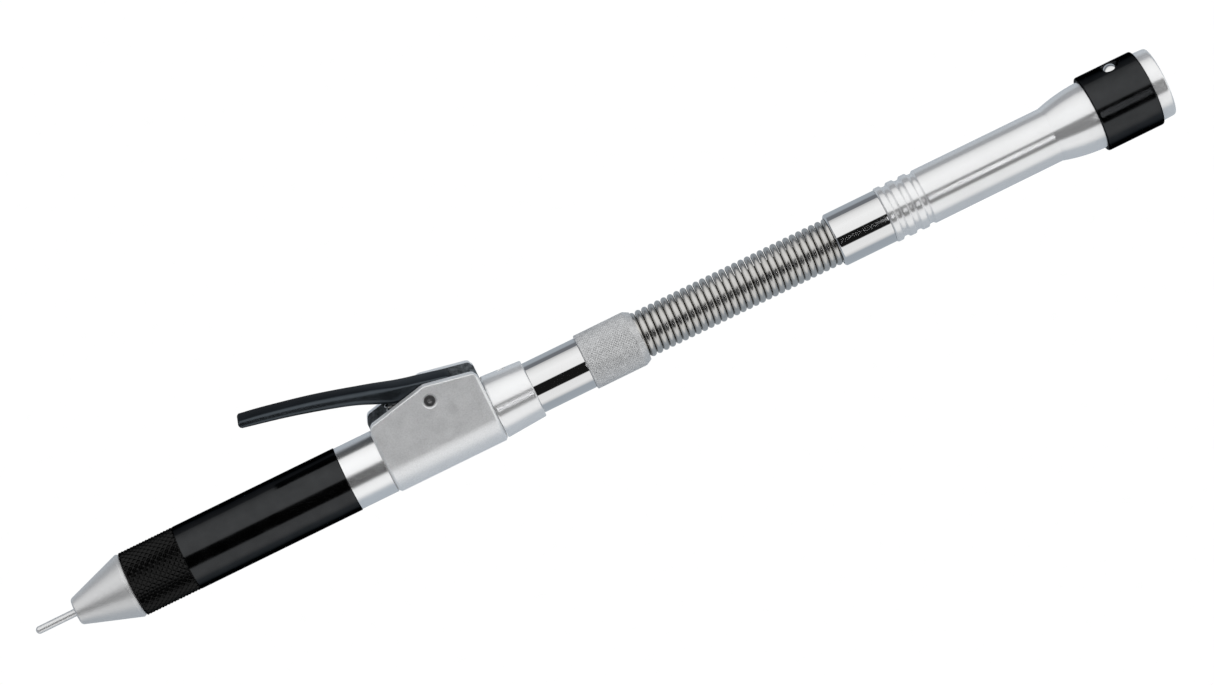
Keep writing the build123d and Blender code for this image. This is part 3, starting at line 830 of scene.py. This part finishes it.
def lever_outline():
    """Closed side view of the lever as (station, height) points, from the tip back along the top."""
    top = smooth_line(
        (
            (46.4, 21.1),
            (51.6, 20.2),
            (61.6, 18.0),
            (71.6, 15.2),
            (77.6, 13.2),
            (81.6, 12.2),
            (87.0, 10.9),
        )
    )
    under = smooth_line(((72.4, 11.6), (66.6, 14.0), (56.6, 17.0), (46.6, 19.4)))
    heel = [(87.6, 10.4), (87.6, 6.2), (81.0, 6.2), (79.6, 6.9), (76.9, 9.8)]
    tip = arc((46.6, 19.4), (45.75, 20.3), (46.4, 21.1), 8)
    return top + heel + under + [p[:2] for p in tip[1:-1]]


def lever():
    """Press bar with well-rounded edges, the heel and toe inside the block, and the seat for its spring."""
    outline = lever_outline()
    stations, radii = (45, 50, 60, 70, 74, 78), (0.5, 0.72, 0.92, 1.2, 1.0, 0.5)
    edge = np.interp([p[0] for p in outline], stations, radii)
    bar = slab("lever_press_bar", outline, lever_width / 2, edge)
    toe_front, toe_rear = pivot_station - 0.9, pivot_station + 0.9
    root, side, tip = 6.8, 4.2, 3.3
    foot = arc((toe_rear, side), (pivot_station, tip), (toe_front, side))
    toe = [(toe_front, root), (toe_rear, root), *[p[:2] for p in foot]]
    combine(bar, slab("toe", toe, 2.4, 0.1), "UNION")
    past, bore = 5.0, pivot_radius + 0.04
    hole = [(-past, 0.0), (-past, bore), (past, bore), (past, 0.0)]
    combine(bar, turned_about("pivot_hole", hole, pivot_point, (0, 0, 1)))
    open_end, seat_floor, seat_radius = 8.0, 10.85, 1.9
    seat = [(open_end, 0.0), (open_end, seat_radius), (seat_floor, seat_radius), (seat_floor, 0.0)]
    combine(bar, turned_about("spring_seat", seat, (-spring_station * MM, 0, 0), (0, -1, 0)))
    stand_in(bar, "lever")


def lever_spring():
    """Small coil that lifts the lever. The real coil shortens as the lever is pressed; this one keeps its
    length.
    """
    low = -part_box("lever_spring")[1].y / MM
    high = -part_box("lever_spring")[0].y / MM
    wire = 0.2
    turns = 5
    outer = radius("lever_spring")
    rise = (high - low - 2 * wire) / turns
    piece = coil("lever_spring_coil", low + wire, rise, turns, outer - wire, wire, 40, 10)
    upright = Matrix.Rotation(math.pi / 2, 4, "Z")
    piece.data.transform(Matrix.Translation((-spring_station * MM, 0, 0)) @ upright)
    stand_in(piece, "lever_spring")
    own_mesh(piece)


def disc_springs():
    """Coned discs stacked face to face round the draw bar. The real discs flatten as the lever pushes the bar
    back; these keep their shape.
    """
    start, end, size = front("disc_springs"), rear("disc_springs"), radius("disc_springs")
    bore, pitch, rise, thickness = 1.27, 0.5, 0.22, 0.24
    # Number of discs that fit between the stack's ends. The draw bar's travel of 1.35 is not applied here.
    count = round((end - start - rise - thickness) / pitch) + 1
    discs = []
    for index in range(count):
        face = start + index * pitch
        rim, eye = (face, face + rise) if index % 2 else (face + rise, face)
        outline = [(rim, size), (rim + thickness, size), (eye + thickness, bore), (eye, bore)]
        discs.append(turned("disc", outline, 0.03, 96))
    piece = joined("disc_springs_stack", discs)
    stand_in(piece, "disc_springs")
    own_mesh(piece)


# ---------------------------------------------------------------- rear of the barrel and the neck


def rear_collar():
    """Slightly tapered collar behind the block, with a blind spanner hole on the lever's side."""
    start, end = front("rear_collar"), rear("rear_collar")
    large, small = radius("rear_collar"), 6.15
    thread_end, thread, bore = 98.05, 5.52, 4.52
    outline = [
        (start, large - 0.1, 0.1),
        (start + 0.3, large, 0.1),
        (end - 0.15, small, 0.08),
        (end, small - 0.2, 0.08),
        (end, bore),
        (thread_end, bore),
        (thread_end, thread),
        (start, thread),
    ]
    piece = turned("rear_collar_tapered", outline)
    hole_station, size, floor, eased, outside = 97.2, 0.85, 5.75, large - 0.5, large + 0.3
    hole = [(floor, 0.0), (floor, size), (eased, size), (outside, size + 0.25), (outside, 0.0)]
    combine(piece, turned_about("spanner_hole", hole, (-hole_station * MM, 0, 0), (0, -1, 0)))
    stand_in(piece, "rear_collar", collar_finish)


def rear_tube():
    """Polished tube between the collar and the spring nut."""
    start, end, size = front("rear_tube"), rear("rear_tube"), radius("rear_tube")
    shoulder, tube_end = rear("rear_collar") + fine_seam, front("spring_nut") - fine_seam
    spigot, thread = 4.5, 4.9
    outline = [
        (start, spigot),
        (shoulder, spigot),
        (shoulder, size, 0.1),
        (tube_end, size, 0.1),
        (tube_end, thread),
        (end, thread),
        (end, cable_bore),
        (start, cable_bore),
    ]
    stand_in(turned("rear_tube_polished", outline), "rear_tube")


def spring_nut():
    """Nut over the front of the spring neck, with a very fine diamond knurl."""
    start, end, size = front("spring_nut"), rear("spring_nut"), radius("spring_nut")
    land, taper = 0.3, 1.3
    tube_seat_end, tube_seat = 118.05, 4.92
    spring_seat_front, spring_seat, lip = 119.5, 5.0, 3.9
    count, samples = 60, 8
    pitch = 2 * math.pi * size / count
    outline = [
        (start, size - 0.2, 0.05),
        (start + 0.2, size, 0.08),
        (end - taper, size, 0.2),
        (end, size - 0.7, 0.15),
        (end, spring_seat),
        (spring_seat_front, spring_seat),
        (spring_seat_front, lip),
        (tube_seat_end, lip),
        (tube_seat_end, tube_seat),
        (start, tube_seat),
    ]
    knurl = diamond_knurl(start + land, end - taper, pitch, count, 0.12, 1.1, 0.2)
    zone = (start + 0.2, end - taper, pitch / samples)
    piece = turned("spring_nut_knurled", outline, 0.05, count * samples, knurl, zone)
    stand_in(piece, "spring_nut", knurl_finish)


def strand_relief(station, angle):
    """Grooves between the strands of a wound cable."""
    strands, lay, depth = 12, 9.0, 0.09
    turn = (station * 2 * math.pi / lay + angle) * strands / 2
    return depth * (1 - np.sqrt(np.abs(np.sin(turn))))


def neck():
    """Close-wound outer spring, the plastic liner in it and the stranded drive cable in that."""
    wire, turns, pitch = 0.67, 37, 1.43
    first, coil_radius = front("outer_spring") + wire, radius("outer_spring") - wire
    spring = coil("outer_spring_coil", first, pitch, turns, coil_radius, wire)
    bends_with_neck(spring, "outer_spring")
    start, end, size = front("neck_liner"), rear("neck_liner"), radius("neck_liner")
    bore, spacing = 1.8, 0.8
    outline = [(start, size, 0.15), (end, size, 0.15), (end, bore), (start, bore)]
    liner = turned("neck_liner_tube", outline, 0.05, 48, zone=(start, end, spacing))
    bends_with_neck(liner, "neck_liner")
    start, end, size = front("drive_cable"), rear("drive_cable"), radius("drive_cable")
    outline = [(start, 0.0), (start, size, 0.1), (end, size, 0.1), (end, 0.0)]
    cable = turned("drive_cable_stranded", outline, 0.05, 96, strand_relief, (start, end, 0.5))
    bends_with_neck(cable, "drive_cable")


# ---------------------------------------------------------------- tail


def rear_ferrule():
    """Polished ferrule that the neck spring screws into."""
    start, end, size = front("rear_ferrule"), rear("rear_ferrule"), radius("rear_ferrule")
    shoulder, pocket_end = front("tail_handle") - fine_seam, 174.0
    spigot, spring_seat = 4.98, 5.0
    outline = [
        (start, size - 0.35, 0.15),
        (start + 0.35, size, 0.15),
        (shoulder, size, 0.1),
        (shoulder, spigot),
        (end, spigot),
        (end, cable_bore),
        (pocket_end, cable_bore),
        (pocket_end, spring_seat),
        (start, spring_seat),
    ]
    stand_in(turned("rear_ferrule_polished", outline), "rear_ferrule")


def tail_handle():
    """Handle tube: three ribs at its front, a plain tube and the bell that carries band and socket."""
    start, end = front("tail_handle"), band_rear
    rib, groove, tube, bore = 5.9, 5.42, 5.8, 4.3
    seat_end, socket_front, mouth_front = 199.0, 213.0, 235.4
    outline = [(start, rib - 0.3, 0.1), (start + 0.3, rib, 0.15)]
    for middle, behind in ((182.0, rib), (184.85, rib), (187.7, tube)):
        outline += [
            (middle - 0.75, rib, 0.2),
            (middle - 0.45, groove, 0.25),
            (middle + 0.45, groove, 0.25),
            (middle + 0.75, behind, 0.2),
        ]
    outline += arc((216.8, tube - 0.05), (220.8, 6.68), (band_front, 7.2))
    outline += [
        (band_front, band_bore - fine_seam),
        (end, band_bore - fine_seam),
        (end, socket_mouth_radius),
        (mouth_front, socket_mouth_radius),
        (mouth_front, socket_radius),
        (socket_front, socket_radius),
        (socket_front, bore),
        (seat_end, bore),
        (seat_end, bearing_seat),
        (start, bearing_seat),
    ]
    piece = turned("tail_handle_turned", outline, 0.04)
    inside, lip_end, outside, size = 4.0, 5.05, 8.0, detent_radius + 0.04
    hole = [(inside, 0.0), (inside, ball_lip), (lip_end, ball_lip)]
    hole += [(lip_end, size), (outside, size), (outside, 0.0)]
    combine(piece, turned_about("ball_pocket", hole, detent_foot, detent_outwards))
    stand_in(piece, "tail_handle")


def retaining_band():
    """Black band round the socket, with the hole that the detent ball shows through."""
    outline = [
        (band_front, band_radius, 0.45),
        (band_rear, band_radius, 0.45),
        (band_rear, band_bore),
        (band_front, band_bore),
    ]
    piece = turned("retaining_band_black", outline, 0.05)
    inside, outside, size = 6.0, 9.0, detent_radius - 0.01
    hole = [(inside, 0.0), (inside, size), (band_radius - 0.8, size)]
    hole += [(band_radius + 0.1, size + 0.36), (outside, 2.1), (outside, 0.0)]
    combine(piece, turned_about("ball_hole", hole, detent_foot, detent_outwards))
    stand_in(piece, "retaining_band")


def detent_ball():
    """Hard ball that drops into the groove of the shaft sheath's end."""
    turn = np.linspace(0, math.pi, 40)
    dome = [(-detent_radius * math.cos(a), detent_radius * math.sin(a), 0) for a in turn]
    # The photograph shows more of the ball than its CAD place would.
    lift = 0.2 * MM
    centre = detent_centre + detent_outwards * lift
    ball = turned_about("detent_ball_polished", dome, centre, detent_outwards, 96)
    stand_in(ball, "detent_ball")


def end_ring():
    """Bevelled ring that closes the tail round the socket's mouth."""
    start, size = front("end_ring"), radius("end_ring")
    spigot = size - 1.55
    outline = [
        (start, spigot),
        (band_rear + fine_seam, spigot),
        (band_rear + fine_seam, size, 0.1),
        (tool_end, size - 0.15, 0.6),
        (tool_end, socket_radius, 0.3),
        (start, socket_radius),
    ]
    stand_in(turned("end_ring_bevelled", outline), "end_ring", collar_finish)


def inner_parts():
    """The pieces inside keep their CAD shape and take their slot's material."""
    for node, piece in frame["nodes"].items():
        if not piece.hide_render:
            dress(piece, finishes[slot_of_node[node]])
            shade(piece.data)


tool_pin()
nose()
grip()
barrel()
lever_block()
pivot_pin()
lever()
lever_spring()
disc_springs()
rear_collar()
rear_tube()
spring_nut()
neck()
rear_ferrule()
tail_handle()
retaining_band()
detent_ball()
end_ring()
inner_parts()


# ---------------------------------------------------------------- floor, light and camera


# The next two colours are painted: a cool grey that stands in for the tool's shadow on the floor in
# reflections, and a painted dark stripe on the floor.
painted_floor_shade = (0.41, 0.453, 0.50)
painted_dark_floor_stripe = (0.19, 0.2, 0.22)
gap_glow = (0.010, 0.010, 0.010)
nose_glow = (0.18, 0.19, 0.21)
white = (1, 1, 1, 1)
lamp_off, lamp_on = (0, 0, 0), (1, 1, 1)
lamp_glow = (5.0, 5.0, 5.1, 1)


def studio_floor():
    """White sheet that the tool lies on, evenly bright to the camera. In reflections it glows with painted
    light and
    shade: a cool grey near the tool as a painted shadow of the tool, a painted dark stripe, and painted light
    beyond that on the lever's side."""
    reach = 3
    corners = [(-reach, -reach, 0), (reach, -reach, 0), (reach, reach, 0), (-reach, reach, 0)]
    piece = make_object("studio_floor", corners, [(0, 1, 2, 3)])
    piece.location = (0, 0, cad_box[0].z - 0.02 * MM)
    sheet = bpy.data.materials.new("white_sheet")
    nodes = Nodes(sheet)
    nodes.tree.nodes.clear()
    place = nodes.add("ShaderNodeTexCoord").outputs["Object"]
    grain = nodes.add("ShaderNodeTexNoise", {"Vector": place, "Scale": 400}).outputs["Fac"]
    paper = nodes.add("ShaderNodeEmission", {"Strength": nodes.spread(grain, 1.0, 1.02)}).outputs[0]
    across = nodes.add("ShaderNodeSeparateXYZ", {0: place}).outputs["Y"]
    # Painted light and shade, seen only in reflections: a painted shadow of the tool near it, a painted dark
    # stripe, and painted light further out on the lever's side.
    stripes = (
        (-0.3, grey(0.88)),
        (-0.06, grey(0.68)),
        (-0.046, painted_dark_floor_stripe),
        (-0.020, painted_dark_floor_stripe),
        (-0.015, painted_floor_shade),
    )
    striped = nodes.bands(across, stripes, -0.3, 0.0)
    painted_floor_in_reflections = nodes.add("ShaderNodeEmission", {"Color": striped}).outputs[0]
    result = nodes.add("ShaderNodeOutputMaterial")
    nodes.feed(result.inputs["Surface"], nodes.mix(nodes.seen(), painted_floor_in_reflections, paper))
    piece.data.materials.append(sheet)


def studio_light():
    """Two long softboxes over the tool, and a dark gap between them with one short lamp in it, which the
    handle mirrors. The room is darker ahead of the nose than behind the tail."""
    world = bpy.data.worlds.new("studio")
    bpy.context.scene.world = world
    nodes = Nodes(world)
    nodes.tree.nodes.clear()
    direction = nodes.add("ShaderNodeTexCoord").outputs["Generated"]
    x, y, z = nodes.add("ShaderNodeSeparateXYZ", {0: direction}).outputs
    degrees = nodes.maths("MULTIPLY", nodes.maths("ARCTAN2", y, z), 180 / math.pi)
    round_tool = (
        (-92, grey(0.86)),
        (-80, grey(1.0)),
        (-58, grey(1.12)),
        (-19, grey(1.05)),
        (-17, gap_glow),
        (25, gap_glow),
        (27, grey(0.96)),
        (60, grey(1.0)),
        (70, grey(0.84)),
        # From here on the world takes the colour of the floor's painted shade.
        (82, painted_floor_shade),
    )
    boxes = nodes.bands(degrees, round_tool, -180, 180)
    over = nodes.add("ShaderNodeBackground", {"Color": boxes}).outputs[0]
    width = ((-8, lamp_off), (-6, lamp_on), (8, lamp_on), (10, lamp_off))
    length = ((-0.143, lamp_off), (-0.137, lamp_on), (-0.117, lamp_on), (-0.113, lamp_off))
    across, along = nodes.bands(degrees, width, -20, 20), nodes.bands(x, length, -0.3, 0)
    inside = nodes.maths("MULTIPLY", across, along)
    lamp = nodes.add("ShaderNodeBackground", {"Color": lamp_glow}).outputs[0]
    over = nodes.mix(inside, over, lamp)
    ends = ((-0.9, grey(1.1)), (0.9, nose_glow))
    beyond = nodes.add("ShaderNodeBackground", {"Color": nodes.bands(x, ends, -1, 1)}).outputs[0]
    endwards = nodes.spread(nodes.maths("ABSOLUTE", x), 0, 1, 0.8, 0.92)
    lit = nodes.mix(endwards, over, beyond)
    plain = nodes.add("ShaderNodeBackground", {"Color": white}).outputs[0]
    result = nodes.add("ShaderNodeOutputWorld")
    nodes.feed(result.inputs["Surface"], nodes.mix(nodes.seen(), lit, plain))


def studio_camera():
    """Camera over the tool, leaning a little to the lever's side and to the nose, with the nose down left."""
    lean = math.radians(13)
    nosewards = math.radians(1.2)
    roll = math.radians(26.1)
    distance = 0.825
    aim_station, aim_height = 118.66, 1.7
    data = bpy.data.cameras.new("camera")
    data.lens = 122.3
    data.sensor_width = 36
    data.clip_start = 0.01
    camera = bpy.data.objects.new("camera", data)
    bpy.context.scene.collection.objects.link(camera)
    bpy.context.scene.camera = camera
    over = Vector((0, -math.sin(lean), math.cos(lean)))
    back = over * math.cos(nosewards) + Vector((1, 0, 0)) * math.sin(nosewards)
    towards_tail = over * math.sin(nosewards) - Vector((1, 0, 0)) * math.cos(nosewards)
    towards_lever = Vector((0, -math.cos(lean), -math.sin(lean)))
    right = towards_tail * math.cos(roll) - towards_lever * math.sin(roll)
    up = towards_tail * math.sin(roll) + towards_lever * math.cos(roll)
    aim = Vector((-aim_station * MM, 0, 0)) + towards_lever * aim_height * MM
    turn = Matrix((right, up, back)).transposed().to_4x4()
    camera.matrix_world = Matrix.Translation(aim + back * distance) @ turn


studio_floor()
studio_light()
studio_camera()
bpy.context.scene.view_settings.view_transform = "Standard"
